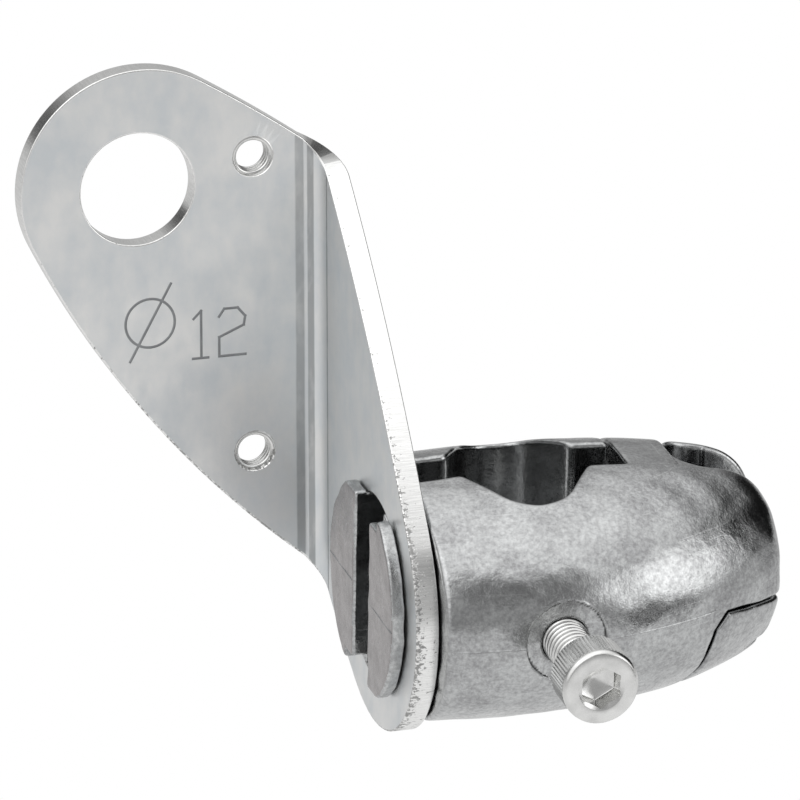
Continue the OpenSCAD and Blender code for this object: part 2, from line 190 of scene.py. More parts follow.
class ClampFinish(bpy.types.PropertyGroup):
    casting: colour("Casting", (0.56, 0.57, 0.57), "Colour of the tumbled zinc casting")
    casting_dark: colour("Casting, dull", (0.27, 0.27, 0.275), "Colour of its duller spots")
    hub_face: colour("Hub face", (0.42, 0.40, 0.40), "Colour of the worn hub faces")
    sheet: colour("Sheet", (0.87, 0.87, 0.86), "Colour of the zinc plated sheet")
    sheet_blue: colour("Sheet, bluish", (0.76, 0.79, 0.81), "Colour of its bluish patches")
    cut: colour("Cut edge", (0.92, 0.92, 0.91), "Colour of the sheet's cut edges")
    mark: colour("Mark", (0.40, 0.41, 0.42), "Colour of the engraved mark")
    steel: colour("Screw", (0.78, 0.78, 0.77), "Colour of the screw")
    casting_rough: factor("Casting roughness", 0.16, "Roughness of the casting")
    sheet_rough: factor("Sheet roughness", 0.4, "Roughness of the sheet")
    steel_rough: factor("Screw roughness", 0.2, "Roughness of the screw")


class ClampStage(bpy.types.PropertyGroup):
    azimuth: angle("Azimuth", -16.907, "Way the camera stands round the clamp")
    elevation: angle("Elevation", 22.479, "Height of the camera above the horizon")
    roll: angle("Roll", 0.951, "Turn of the camera about its own axis")
    distance: FloatProperty(
        name="Distance", description="Camera to the clamp", default=1.5, unit="LENGTH"
    )
    focal: FloatProperty(name="Lens", description="Focal length in mm", default=525.2, min=20)
    target: FloatVectorProperty(
        name="Target",
        description="Point that the camera looks at",
        default=(-0.01193, 0.00719, 0.020375),
        size=3,
        subtype="TRANSLATION",
    )
    floor_drop: length("Floor", 120, "Rod's origin to the floor")


GROUPS = {
    "clamp_shells": ClampShellSizes,
    "clamp_hooks": ClampHookSizes,
    "clamp_hub": ClampHubSizes,
    "clamp_screw": ClampScrewSizes,
    "clamp_plate": ClampPlateSizes,
}


class Sizes:
    """Sizes from the panel in millimetres, with those that follow from them."""

    def __init__(self, scene):
        for group_name in GROUPS:
            group = getattr(scene, group_name)
            for key, prop in group.bl_rna.properties.items():
                if key in {"name", "rna_type"}:
                    continue
                value = getattr(group, key)
                setattr(self, key, round(value / MM, 5) if prop.unit == "LENGTH" else value)
        self.gap_half = self.shell_gap / 2
        self.rod_back = -AXIS_Y / MM
        self.seat_r = self.rod_d / 2 + self.rod_clearance
        bar_h = self.bar_h = self.shell_half_h + 0.15
        lead = self.front_depth - self.front_nose_r
        nose = self.front_nose_r
        self.flank_r = (lead**2 + bar_h**2 - nose**2) / (2 * (bar_h - nose))
        self.flank_k = self.flank_r - bar_h
        self.crown_z = self.crown_r - self.shell_half_h
        self.end_x = self.shell_end - self.end_round
        swing = (self.crown_r - self.end_round) ** 2 - (self.end_x - self.bulge_x) ** 2
        self.end_cr = math.sqrt(swing) - self.crown_z
        self.bore_r = self.screw_d / 2 + 0.05
        self.spot_y = self.spot_depth - self.front_depth - self.gap_half
        self.plate_x0 = -self.shell_start - self.plate_play - self.plate_t
        self.flange_x1 = self.plate_x0 - self.plate_play
        self.flange_x0 = self.flange_x1 - self.flange_t
        self.hub_hole_r = self.hub_r + self.hub_clearance
        self.flange_r = self.hub_hole_r + self.flange_lip
        self.flat_z = self.hub_r - self.hub_flat
        self.hook_x1 = self.hook_x + self.hook_w
        self.hook_floor = self.shell_half_h - self.hook_arm
        self.catch_y = self.gap_half + self.hook_catch
        self.room_x1 = self.hook_x1 + self.hook_room
        self.bend_s = self.bend_reach - self.bend_r
        self.bend_x = self.plate_x0 - self.bend_r
        self.bend_len = math.pi / 2 * (self.bend_r + 0.45 * self.plate_t)
        self.flat_start = self.bend_s + self.bend_len

    def to_part(self, points):
        """Millimetres round the swivel axis to metres in the part's frame."""
        return (np.asarray(points, float) - (0, self.rod_back, 0)) * MM


# ---------------------------------------------------------------- node trees


class Nodes:
    """Adds nodes to a tree: a value is set, a node or a socket is linked."""

    def __init__(self, tree):
        self.tree = tree

    def add(self, kind, inputs=None, **settings):
        node = self.tree.nodes.new(kind)
        for key, value in settings.items():
            setattr(node, key, value)
        for key, value in (inputs or {}).items():
            if isinstance(value, bpy.types.Node):
                value = value.outputs[0]
            if isinstance(value, bpy.types.NodeSocket):
                self.tree.links.new(value, node.inputs[key])
            else:
                node.inputs[key].default_value = value
        return node

    def math(self, operation, a, b=0.0, clamp=False):
        return self.add("ShaderNodeMath", {0: a, 1: b}, operation=operation, use_clamp=clamp)

    def times(self, a, b):
        return self.math("MULTIPLY", a, b)

    def weigh(self, *parts):
        """Sum of values, each times its weight."""
        total = None
        for value, weight in parts:
            part = value if weight == 1 else self.times(value, weight)
            total = part if total is None else self.math("ADD", total, part)
        return total

    def noise(self, vector, scale, detail=2.0, roughness=0.5, seed_at=0.0):
        offset = (seed_at, seed_at * 1.7, -seed_at)
        moved = self.add("ShaderNodeVectorMath", {0: vector, 1: offset}, operation="ADD")
        return self.add(
            "ShaderNodeTexNoise",
            {"Vector": moved, "Scale": scale, "Detail": detail, "Roughness": roughness},
        )

    def spread(self, value, low, high, to_low=0.0, to_high=1.0):
        """Maps low..high to to_low..to_high and stays within it."""
        given = {"Value": value, "From Min": low, "From Max": high}
        given |= {"To Min": to_low, "To Max": to_high}
        return self.add("ShaderNodeMapRange", given, clamp=True)

    def mix(self, share, a, b):
        """Mix of two colours, each given as three numbers or as a socket."""
        ends = {index: (*c, 1) if isinstance(c, tuple) else c for index, c in ((6, a), (7, b))}
        return self.add("ShaderNodeMix", {0: share, **ends}, data_type="RGBA").outputs[2]

    def scaled(self, vector, scale):
        return self.add("ShaderNodeVectorMath", {0: vector, 1: scale}, operation="MULTIPLY")


def new_material(name):
    material = bpy.data.materials.new(name)
    material.use_nodes = True
    tree = material.node_tree
    tree.nodes.clear()
    return material, Nodes(tree)


def shade(colour, factor):
    """A colour times a factor, at most 1."""
    return tuple(min(1, c * factor) for c in colour)


def close_metal(nodes, base, rough, height, depth):
    """Ends a metal's tree: its colour, roughness and bump into one shader."""
    bump = nodes.add("ShaderNodeBump", {"Height": height, "Distance": depth * MM})
    metal = {"Base Color": base, "Metallic": 1.0, "Roughness": rough, "Normal": bump}
    shader = nodes.add("ShaderNodeBsdfPrincipled", metal)
    nodes.add("ShaderNodeOutputMaterial", {"Surface": shader})


def scratches(nodes, place, turns, spacing, thin):
    """Fine straight scratches in several directions, 1 on a scratch and 0 beside it."""
    total = None
    stretch = (60, 60, 1 / (spacing * MM))
    for number, turn in enumerate(turns):
        turned = nodes.add(
            "ShaderNodeMapping", {"Vector": place, "Rotation": turn, "Scale": stretch}
        )
        lines = nodes.noise(turned, 1.0, 1.0, 0.5, 3.1 * number)
        line = nodes.spread(lines, thin, thin + 0.05)
        total = line if total is None else nodes.math("MAXIMUM", total, line)
    return total


def casting_finish(name, bright, dull, rough):
    """Tumbled zinc casting: small dents, sparkling grain and dull spots."""
    material, nodes = new_material(name)
    place = nodes.add("ShaderNodeTexCoord").outputs["Object"]
    patches = nodes.noise(place, 170, 3, 0.55)
    grain = nodes.noise(place, 3600, 3, 0.7, 1.3)
    specks = nodes.noise(place, 1700, 4, 0.7, 6.2)
    dents = nodes.noise(place, 800, 2, 0.5, 2.1)
    scratch = scratches(nodes, place, [(0.3, 0.9, 0.2), (0.5, -0.9, 1.4)], 0.12, 0.72)
    share = nodes.weigh(
        (nodes.spread(specks, 0.36, 0.66), 0.65), (nodes.spread(patches, 0.4, 0.65), 0.35)
    )
    base = nodes.mix(share, bright, dull)
    base = nodes.mix(nodes.times(scratch, 0.3), base, shade(bright, 1.4))
    gloss = 0.25
    low, high = rough - 0.07 - gloss / 2, rough + 0.10 - gloss / 2
    roughness = nodes.weigh((nodes.spread(share, 0.0, 1.0, low, high), 1), (grain, gloss))
    height = nodes.weigh((dents, 0.6), (specks, 0.5), (grain, 0.26), (scratch, -0.05))
    close_metal(nodes, base, roughness, height, 0.06)
    return material


def sheet_finish(name, bright, bluish, rough, painted_shade_bands):
    """Zinc plated sheet: cloudy patches, fine scratches, and bands on the inside of the bend that
    the bending tool rubbed smoother and that are darkened as painted shade.
    """
    material, nodes = new_material(name)
    flat = nodes.add("ShaderNodeAttribute", attribute_name="sheet").outputs["Vector"]
    clouds = nodes.noise(flat, 120, 4, 0.6)
    blots = nodes.noise(nodes.scaled(flat, (1, 0.45, 1)), 420, 3, 0.6, 5.0)
    grain = nodes.noise(flat, 3200, 2, 0.6, 2.0)
    scratch = scratches(nodes, flat, [(0, 1.2, 0.4), (1.35, 0.1, 0.3)], 0.15, 0.7)
    cloudy = nodes.spread(nodes.weigh((clouds, 0.6), (blots, 0.4)), 0.38, 0.64)
    base = nodes.mix(cloudy, bright, bluish)
    split = nodes.add("ShaderNodeSeparateXYZ", {0: flat}).outputs
    inner_face = nodes.spread(split["Z"], -0.5 * MM, 0.5 * MM, 1.0, 0.15)
    wobble = nodes.math("SUBTRACT", nodes.noise(flat, 200), 0.5)
    run = nodes.weigh((split["X"], 1), (wobble, 0.15 * MM))
    soft = 0.2
    rub_and_painted_shade = None
    # Bands across the bend: rubbed smoother by the bending tool, and darkened as painted shade.
    for low, high, share in painted_shade_bands:
        painted_shade_band = nodes.times(
            nodes.spread(run, low * MM, (low + soft) * MM, 0.0, share),
            nodes.spread(run, (high - soft) * MM, high * MM, 1.0, 0.0),
        )
        rub_and_painted_shade = painted_shade_band if rub_and_painted_shade is None else nodes.math("MAXIMUM", rub_and_painted_shade, painted_shade_band)
    rub_and_painted_shade = nodes.times(rub_and_painted_shade, nodes.spread(blots, 0.3, 0.5, 0.7, 1.0))
    rub_and_painted_shade = nodes.times(rub_and_painted_shade, inner_face)
    # Painted shade: on the inner face of the bend the bands darken the sheet towards a dark bluish
    # grey.
    base = nodes.mix(rub_and_painted_shade, base, shade(bluish, 0.3))
    cloud_rough = nodes.spread(cloudy, 0.0, 1.0, rough - 0.05, rough + 0.08)
    roughness = nodes.weigh((cloud_rough, 1), (rub_and_painted_shade, -0.1))
    height = nodes.weigh((grain, 0.3), (blots, 0.8), (scratch, -0.1))
    close_metal(nodes, base, roughness, height, 0.02)
    return material


def cut_finish(name, base_colour, half):
    """Laser cut edge: bright with fine grooves, and dark specks at its inner side by the hub."""
    material, nodes = new_material(name)
    flat = nodes.add("ShaderNodeAttribute", attribute_name="sheet").outputs["Vector"]
    split = nodes.add("ShaderNodeSeparateXYZ", {0: flat}).outputs
    grooves = nodes.noise(nodes.scaled(flat, (4200, 4200, 350)), 1.0, 2, 0.6)
    broad = nodes.noise(nodes.scaled(flat, (2300, 2300, 1500)), 1.0, 3, 0.65, 2.0)
    inner_side = nodes.spread(split["Z"], -0.8 * half, 0.1 * half, 0.16, 0.0)
    near_hub = nodes.spread(split["Y"], 12 * MM, 34 * MM, 0.03, -0.14)
    speck = nodes.spread(nodes.weigh((broad, 1), (inner_side, 1), (near_hub, 1)), 0.66, 0.72)
    dark = shade(base_colour, 0.3)
    base = nodes.mix(nodes.times(speck, 0.8), base_colour, dark)
    base = nodes.mix(nodes.spread(grooves, 0.35, 0.62, 0.14, 0.0), base, dark)
    roughness = nodes.spread(speck, 0.0, 1.0, 0.26, 0.5)
    close_metal(nodes, base, roughness, nodes.weigh((grooves, 0.2), (speck, -0.5)), 0.04)
    return material


def plain_metal(name, base_colour, rough, grain_scale, depth):
    """Metal with a fine even grain and slightly uneven gloss."""
    material, nodes = new_material(name)
    place = nodes.add("ShaderNodeTexCoord").outputs["Object"]
    grain = nodes.noise(place, grain_scale, 3, 0.6)
    patches = nodes.noise(place, 420, 2, 0.5, 1.0)
    base = nodes.mix(nodes.spread(patches, 0.35, 0.7), base_colour, shade(base_colour, 0.82))
    roughness = nodes.spread(grain, 0.3, 0.7, rough - 0.05, rough + 0.07)
    close_metal(nodes, base, roughness, grain, depth)
    return material


def new_geometry_tree(name, sizes):
    """An empty tree with named inputs for its sizes; returns it, its inputs and its adder."""
    tree = bpy.data.node_groups.new(name, "GeometryNodeTree")
    tree.interface.new_socket("Geometry", in_out="INPUT", socket_type="NodeSocketGeometry")
    for key, value in sizes.items():
        kind = "NodeSocketInt" if isinstance(value, int) else "NodeSocketFloat"
        tree.interface.new_socket(key, in_out="INPUT", socket_type=kind).default_value = value
    tree.interface.new_socket("Geometry", in_out="OUTPUT", socket_type="NodeSocketGeometry")
    nodes = Nodes(tree)
    return tree, nodes.add("NodeGroupInput").outputs, nodes


def end_geometry_tree(nodes, geometry, material):
    real = nodes.add("GeometryNodeRealizeInstances", {"Geometry": geometry})
    painted = nodes.add("GeometryNodeSetMaterial", {"Geometry": real, "Material": material})
    nodes.add("NodeGroupOutput", {"Geometry": painted})


def placed(name, data):
    """A new object in the scene."""
    obj = bpy.data.objects.new(name, data)
    bpy.context.scene.collection.objects.link(obj)
    return obj


def grown_mesh(name, tree, sizes, source=None):
    """Runs a tree on a mesh and returns its result as a plain mesh."""
    obj = placed(name, source or bpy.data.meshes.new(name))
    modifier = obj.modifiers.new(name, "NODES")
    modifier.node_group = tree
    for item in tree.interface.items_tree:
        if item.in_out == "INPUT" and item.name in sizes:
            modifier[item.identifier] = sizes[item.name]
    mesh = evaluated_copy(obj)
    bpy.data.objects.remove(obj)
    return mesh


def evaluated_copy(obj):
    bpy.context.view_layer.update()
    graph = bpy.context.evaluated_depsgraph_get()
    return bpy.data.meshes.new_from_object(obj.evaluated_get(graph))


def modified(name, data, kind, **settings):
    """A copy of a mesh with one modifier applied."""
    obj = placed(name, data)
    modifier = obj.modifiers.new(name, kind)
    for key, value in settings.items():
        setattr(modifier, key, value)
    mesh = evaluated_copy(obj)
    bpy.data.objects.remove(obj)
    return mesh


def swept(nodes, path, radius, corners):
    """A round bead along a curve."""
    sizes = {"Resolution": corners, "Radius": radius}
    ring = nodes.add("GeometryNodeCurvePrimitiveCircle", sizes)
    given = {"Curve": path, "Profile Curve": ring, "Fill Caps": True}
    return nodes.add("GeometryNodeCurveToMesh", given)


def bead_tree(material, sizes):
    """A round bead along an edge path."""
    tree, given, nodes = new_geometry_tree("bead along a path", sizes)
    path = nodes.add("GeometryNodeMeshToCurve", {"Mesh": given["Geometry"]})
    end_geometry_tree(nodes, swept(nodes, path, given["Radius"], 10), material)
    return tree


def thread_tree(material, sizes):
    """A helical ridge of a thread, standing along Z from its origin."""
    tree, given, nodes = new_geometry_tree("thread ridge", sizes)
    spiral = {"Resolution": 40, "Rotations": given["Turns"], "Height": given["Height"]}
    spiral |= {"Start Radius": given["Radius"], "End Radius": given["Radius"]}
    helix = nodes.add("GeometryNodeCurveSpiral", spiral)
    upright = nodes.add("GeometryNodeSetCurveNormal", {"Curve": helix}, mode="Z_UP")
    end_geometry_tree(nodes, swept(nodes, upright, given["Ridge"], 12), material)
    return tree


def knurl_tree(material, sizes):
    """Straight ridges round a head, standing along Z about the origin."""
    tree, given, nodes = new_geometry_tree("knurl", sizes)
    around = {"Vertices": given["Count"], "Radius": given["Radius"]}
    ring = nodes.add("GeometryNodeMeshCircle", around)
    bar = {"Vertices": 4, "Radius": given["Ridge"], "Depth": given["Height"]}
    ridge = nodes.add("GeometryNodeMeshCylinder", bar).outputs["Mesh"]
    place = nodes.add("GeometryNodeInputPosition")
    turn = nodes.add("FunctionNodeAlignRotationToVector", {"Vector": place}, axis="X")
    copies = {"Points": ring, "Instance": ridge, "Rotation": turn}
    end_geometry_tree(nodes, nodes.add("GeometryNodeInstanceOnPoints", copies), material)
    return tree


# ---------------------------------------------------------------- pieces


def show_piece(name, mesh, body, materials=(), replaced=()):
    """Puts a finished mesh on its body."""
    for material in materials:
        mesh.materials.append(material)
    mesh.name = name
    obj = placed(name, mesh)
    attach(obj, body)
    if replaced:
        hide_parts(*replaced)
    return obj


def finish_of(name):
    """A finish that an earlier operator made."""
    material = bpy.data.materials.get(name)
    if material is None:
        raise RuntimeError(f"the finish {name} isn't there yet: run Finishes first")
    return material


def round_max(a, b, r):
    """The greater of two distances, with the edge between them rounded."""
    overlap = np.maximum(r - np.abs(a - b), 0) / r
    return np.maximum(a, b) + overlap * overlap * r / 4


def round_min(a, b, r):
    return -round_max(-a, -b, r)


def outline_distance(corners, x, z):
    """Distance to a closed outline, below zero inside it."""
    inside = np.zeros(x.shape, bool)
    best = np.full(x.shape, np.inf)
    for (ax, az), (bx, bz) in zip(corners, corners[1:] + corners[:1]):
        ex, ez = bx - ax, bz - az
        share = np.clip(((x - ax) * ex + (z - az) * ez) / (ex * ex + ez * ez), 0, 1)
        best = np.minimum(best, (x - ax - share * ex) ** 2 + (z - az - share * ez) ** 2)
        inside ^= ((az > z) != (bz > z)) & (x < ex * (z - az) / (ez or 1) + ax)
    return np.where(inside, -1, 1) * np.sqrt(best)


def end_cap(s, x, radius):
    """Distance to the tapered and rounded free end."""
    a, b = radius - s.end_cr, x - s.end_x
    sin, cos = math.sin(s.end_taper), math.cos(s.end_taper)
    cone = a * cos + b * sin
    corner = np.hypot(a, b)
    return np.where(a < 0, b, np.where(b * cos > a * sin, corner, cone)) - s.end_round


def front_outside(s, x, v, z):
    """Distance to the front shell's outside; v runs forwards from its parting face."""
    side = np.abs(z)
    crown = np.hypot(v, side + s.flank_k) + s.crown_z - s.flank_k
    crown = np.hypot(crown, x - s.bulge_x) - s.crown_r
    core = s.front_bulge_r - s.front_depth
    u = np.hypot(x - s.bulge_x, v + core) - core
    lead = s.front_depth - s.front_nose_r
    on_nose = side * lead < (u - lead) * s.flank_k
    nose = np.hypot(u - lead, side) - s.front_nose_r
    flank = np.hypot(u, side + s.flank_k) - s.flank_r
    bar = round_max(crown, np.where(on_nose, nose, flank), s.crease)
    return round_max(bar, end_cap(s, x, np.hypot(v - s.end_shift, z)), s.crease)


def rear_outside(s, x, v, z):
    crown = np.hypot(np.hypot(v, z) + s.crown_z, x - s.bulge_x) - s.crown_r
    core = s.rear_bulge_r - s.rear_depth
    u = np.hypot(x - s.bulge_x, v + core) - core
    bar = np.hypot(u - s.rear_depth + s.bar_h, z) - s.bar_h
    bar = round_max(crown, bar, s.crease)
    return round_max(bar, end_cap(s, x, np.hypot(v, z)), s.crease)


def outside(s, x, y, z):
    """Distance to the outside of the closed pair."""
    v = np.maximum(np.abs(y) - s.gap_half, 0)
    share = np.clip(0.5 + y / s.shell_gap, 0, 1)
    return front_outside(s, x, v, z) * (1 - share) + rear_outside(s, x, v, z) * share


def seat(s, x, v):
    """Distance to the rod's seat: round at its bottom, opening as a straight V."""
    half = s.seat_wrap / 2
    w = v - s.seat_drop
    side = np.abs(x)
    round_part = np.hypot(side, w)
    straight = side * math.sin(half) + w * math.cos(half)
    return np.where(side * math.cos(half) < w * math.sin(half), round_part, straight) - s.seat_r


def hook_plan(s, x, y, x0, x1, y0, round_x, round_y):
    """Plan of a hook or of its room, with the fillet at its far side."""
    r = s.hook_fillet
    plan = np.maximum(np.abs(x - (x0 + x1) / 2) - (x1 - x0) / 2, y0 - y)
    within = [x1 - 0.5 - x, y0 - y, x - round_x, y - round_y]
    corner = np.maximum.reduce([*within, r - np.hypot(x - round_x, y - round_y)])
    return np.minimum(plan, corner)


def hook_side(s, y, z):
    """Side view of the front hook: an arm on top that reaches down behind."""
    return np.minimum(s.hook_floor - z, np.maximum(s.catch_y - y, s.hook_tip - z))


def finger_outline(s, g):
    """Side outline of the rear shell's finger, grown by g."""
    top, far = -s.finger_drop + g, 80
    return [
        (s.finger_x + 1.7 - 0.7 * g, top),
        (far, top - 0.14 * (far - s.finger_x)),
        (far, -far),
        (s.finger_x - 6.5 - g, -far),
        (s.finger_x - 4.4 - g, -s.shell_half_h),
        (s.finger_x - 1.1 - g, -s.hook_floor + 0.4),
        (s.finger_x - g, -s.finger_drop - 2),
    ]


def half_shell(s, x, y, z, side, arm):
    """Distance to one half shell with its arm and hub; side is -1 in front and 1 behind."""
    v = side * y - s.gap_half
    solid = round_max(outside(s, x, y, z), round_min(-v, arm, SMALL), s.edge)
    solid = round_max(solid, -s.shell_start - x, s.edge)
    turn = np.hypot(y, z)
    flange_mid = (s.flange_x0 + s.flange_x1) / 2
    flange = round_max(turn - s.flange_r, np.abs(x - flange_mid) - s.flange_t / 2, s.fine)
    sunk = 1  # mm, how far the neck reaches into the shell and into the flange
    neck = np.maximum.reduce([turn - s.hub_r, x + s.shell_start - sunk, s.flange_x1 - sunk - x])
    hub = round_min(flange, neck, SEAM)
    hub = round_max(hub, round_max(np.abs(z) - s.flat_z, -v, s.fine), s.fine)
    solid = round_min(solid, hub, SEAM)
    solid = round_max(solid, -np.maximum(seat(s, x, v), -sunk - v), s.edge)
    step = np.maximum.reduce([x - s.flange_x1, v - s.step_l, s.flat_z - s.step_h + side * z])
    return round_max(solid, -step, SMALL)


def front_shell(s, x, y, z):
    """The front half: hook, spot face, tapped bore and the room for the rear finger."""
    far = (s.hook_x1 + s.hook_fillet, s.hook_fillet - s.gap_half)
    plan = hook_plan(s, x, y, s.hook_x, s.hook_x1, -s.gap_half - 1, *far)
    solid = half_shell(s, x, y, z, -1, round_max(plan, hook_side(s, y, z), s.edge))
    ring = np.hypot(x, z)
    half_boss = s.spot_boss / 2
    boss = np.maximum(ring - s.spot_d / 2, np.abs(y - s.spot_y - half_boss) - half_boss)
    solid = round_min(solid, boss, s.fine)
    solid = round_max(solid, -np.maximum(ring - s.spot_d / 2, y - s.spot_y), SMALL)
    solid = round_max(solid, s.bore_r - ring, SMALL)
    finger = outline_distance(finger_outline(s, s.hook_gap), x, z)
    room = np.minimum(
        np.maximum(finger, y + s.catch_y - s.hook_gap),
        np.maximum.reduce([finger, y, z + s.hook_floor - s.hook_gap]),
    )
    return round_max(solid, -room, s.edge)


def rear_shell(s, x, y, z):
    """The rear half: finger and the room for the front hook."""
    finger = outline_distance(finger_outline(s, 0), x, z)
    reach = np.maximum(np.minimum(z + s.hook_floor, y + s.catch_y), y - s.gap_half - 1)
    solid = half_shell(s, x, y, z, 1, round_max(finger, reach, s.edge))
    far = (s.room_x1 + s.hook_fillet, s.gap_half + s.hook_fillet)
    plan = hook_plan(s, x, y, s.hook_x - s.hook_gap, s.room_x1, 0, *far)
    room = np.maximum(plan, hook_side(s, y, z) - s.hook_gap)
    return round_max(solid, -room, s.edge)


def cast_waves(points, height, seed):
    """Gentle unevenness of a cast face."""
    draw = np.random.default_rng(seed)
    waves, shortest, longest = 14, 2.2, 7.0
    total = np.zeros(len(points))
    for _ in range(waves):
        way = draw.normal(size=3)
        way *= 2 * math.pi / draw.uniform(shortest, longest) / np.linalg.norm(way)
        total += np.sin(points @ way + draw.uniform(0, 2 * math.pi))
    return total * height / 2


def slope(distance, points, reach):
    """Rise of a distance along each axis."""
    rise = np.empty_like(points)
    for axis in range(3):
        step = np.zeros(3)
        step[axis] = reach
        rise[:, axis] = (distance(points + step) - distance(points - step)) / (2 * reach)
    return rise


def settle(net, distance, rounds):
    """Spreads a net evenly over the face where the distance is zero; returns normals too."""
    count = len(net.vertices)
    points = np.empty(count * 3)
    net.vertices.foreach_get("co", points)
    points = points.reshape(-1, 3)
    ends = np.empty(len(net.edges) * 2, np.int64)
    net.edges.foreach_get("vertices", ends)
    a, b = ends.reshape(-1, 2).T
    both, other = np.concatenate([a, b]), np.concatenate([b, a])
    degree = np.bincount(both, minlength=count)[:, None]
    ease, reach, limit, flattest = 0.6, 0.02, 0.3, 0.2
    for _ in range(rounds):
        middle = np.stack(
            [np.bincount(both, points[other, axis], count) for axis in range(3)], 1
        )
        points += ease * (middle / degree - points)
        for _ in range(2):
            rise = slope(distance, points, reach)
            step = distance(points)[:, None] * rise
            step /= np.maximum((rise * rise).sum(1), flattest)[:, None]
            size = np.linalg.norm(step, axis=1)[:, None]
            points -= step * np.minimum(1, limit / np.maximum(size, 1e-9))
    normals = slope(distance, points, 3 * reach)
    normals /= np.maximum(np.linalg.norm(normals, axis=1), 1e-9)[:, None]
    return points, normals


def even_net(s, node, size):
    """A merged copy of a CAD node in millimetres round the swivel axis, with even faces."""
    mesh = frame["nodes"][node].data.copy()
    mesh.materials.clear()
    scale = Matrix.Diagonal((1 / MM, 1 / MM, 1 / MM, 1))
    mesh.transform(Matrix.Translation((0, s.rod_back, 0)) @ scale)
    work = bmesh.new()
    work.from_mesh(mesh)
    bmesh.ops.remove_doubles(work, verts=work.verts, dist=0.001)
    work.to_mesh(mesh)
    work.free()
    return modified(node + "_net", mesh, "REMESH", mode="VOXEL", voxel_size=size)


def cast_shell(s, node, form, seed):
    """A half shell with the rounded edges and the gentle unevenness of a casting."""

    def distance(points):
        return form(s, *points.T) + cast_waves(points, s.wave, seed)

    net = even_net(s, node, s.net)
    points, normals = settle(net, distance, 6)
    net.vertices.foreach_set("co", s.to_part(points).astype(np.float32).ravel())
    net.update()
    net.polygons.foreach_set("use_smooth", np.ones(len(net.polygons), bool))
    net.normals_split_custom_set_from_vertices(normals.tolist())
    return net


def paint_by_place(mesh, test):
    """Gives the faces that a test picks the second material; it gets centres and normals."""
    count = len(mesh.polygons)
    centres, normals = np.empty(count * 3), np.empty(count * 3)
    mesh.polygons.foreach_get("center", centres)
    mesh.polygons.foreach_get("normal", normals)
    picked = test(centres.reshape(-1, 3), normals.reshape(-1, 3))
    mesh.polygons.foreach_set("material_index", picked.astype(np.int32))
    mesh.update()


def parting_bead(s, name, paths, body, slot, finish, radius):
    """The raised line that the two halves of the casting mould leave."""
    mesh = bpy.data.meshes.new(name)
    points, edges = [], []
    for path in paths:
        edges += [(len(points) + i, len(points) + i + 1) for i in range(len(path) - 1)]
        points += [tuple(p) for p in s.to_part(path)]
    mesh.from_pydata(points, edges, [])
    sizes = {"Radius": radius * MM}
    grown = grown_mesh(name, bead_tree(finish_of(finish), sizes), sizes, mesh)
    grown.shade_smooth()
    return show_piece(name, grown, body)


def front_line(s, x0, x1, z):
    """Points just inside the front shell's outside at one height, found by halving."""
    x, sunk = np.linspace(x0, x1, 60), 0.06
    low = np.full(x.shape, -s.gap_half - 1.5 * s.front_depth)
    high = np.full(x.shape, -s.gap_half - 3)
    for _ in range(40):
        mid = (low + high) / 2
        free = outside(s, x, mid, np.full(x.shape, z)) > 0
        low, high = np.where(free, mid, low), np.where(free, high, mid)
    return np.stack([x, (low + high) / 2 + sunk, np.full(x.shape, z)], 1)


class CLAMP_OT_finishes(bpy.types.Operator):
    """Make the procedural finishes of all pieces"""

    bl_idname = "clamp.finishes"
    bl_label = "Finishes"

    def execute(self, context):
        s, f = Sizes(context.scene), context.scene.clamp_finish
        casting_finish("cast_zinc", tuple(f.casting), tuple(f.casting_dark), f.casting_rough)
        plain_metal("hub_face", tuple(f.hub_face), f.casting_rough + 0.12, 1500, 0.03)
        sheet_finish(
            "zinc_sheet",
            tuple(f.sheet),
            tuple(f.sheet_blue),
            f.sheet_rough,
            # Bands of painted shade on the inside of the bend, also rubbed smoother by the tool:
            # start, end and share.
            [
                (s.flat_start - 0.3, s.flat_start + 1.1, 0.5),
                (s.flat_start - 2.3, s.flat_start - 0.8, 0.65),
                (s.bend_s - 0.2, s.bend_s + 0.5, 0.75),
            ],
        )
        cut_finish("laser_cut", tuple(f.cut), s.plate_t / 2 * MM)
        plain_metal("engraved", tuple(f.mark), 0.5, 2500, 0.02)
        plain_metal("bright_steel", tuple(f.steel), f.steel_rough, 3000, 0.006)
        for name, finish in (
            ("rear_half_shell", "cast_zinc"),
            ("front_half_shell", "cast_zinc"),
            ("clamp_screw", "bright_steel"),
            ("mounting_plate", "bright_steel"),
        ):
            for slot in frame["nodes"][name].material_slots:
                slot.material = bpy.data.materials[finish]
        return {"FINISHED"}


class CLAMP_OT_shells(bpy.types.Operator):
    """Make the two cast half shells"""

    bl_idname = "clamp.shells"
    bl_label = "Half shells"

    def execute(self, context):
        s = Sizes(context.scene)
        face_x = (s.flange_x0 + 0.12) * MM

        def on_hub_face(centres, normals):
            return (centres[:, 0] < face_x) & (normals[:, 0] < -0.9)

        for body, node, form, seed in (
            ("rear_shell", "rear_half_shell", rear_shell, 3),
            ("front_shell", "front_half_shell", front_shell, 8),
        ):
            mesh = cast_shell(s, node, form, seed)
            paint_by_place(mesh, on_hub_face)
            finishes = [finish_of("cast_zinc"), finish_of("hub_face")]
            show_piece(body + "_casting", mesh, body, finishes, [node])
        return {"FINISHED"}


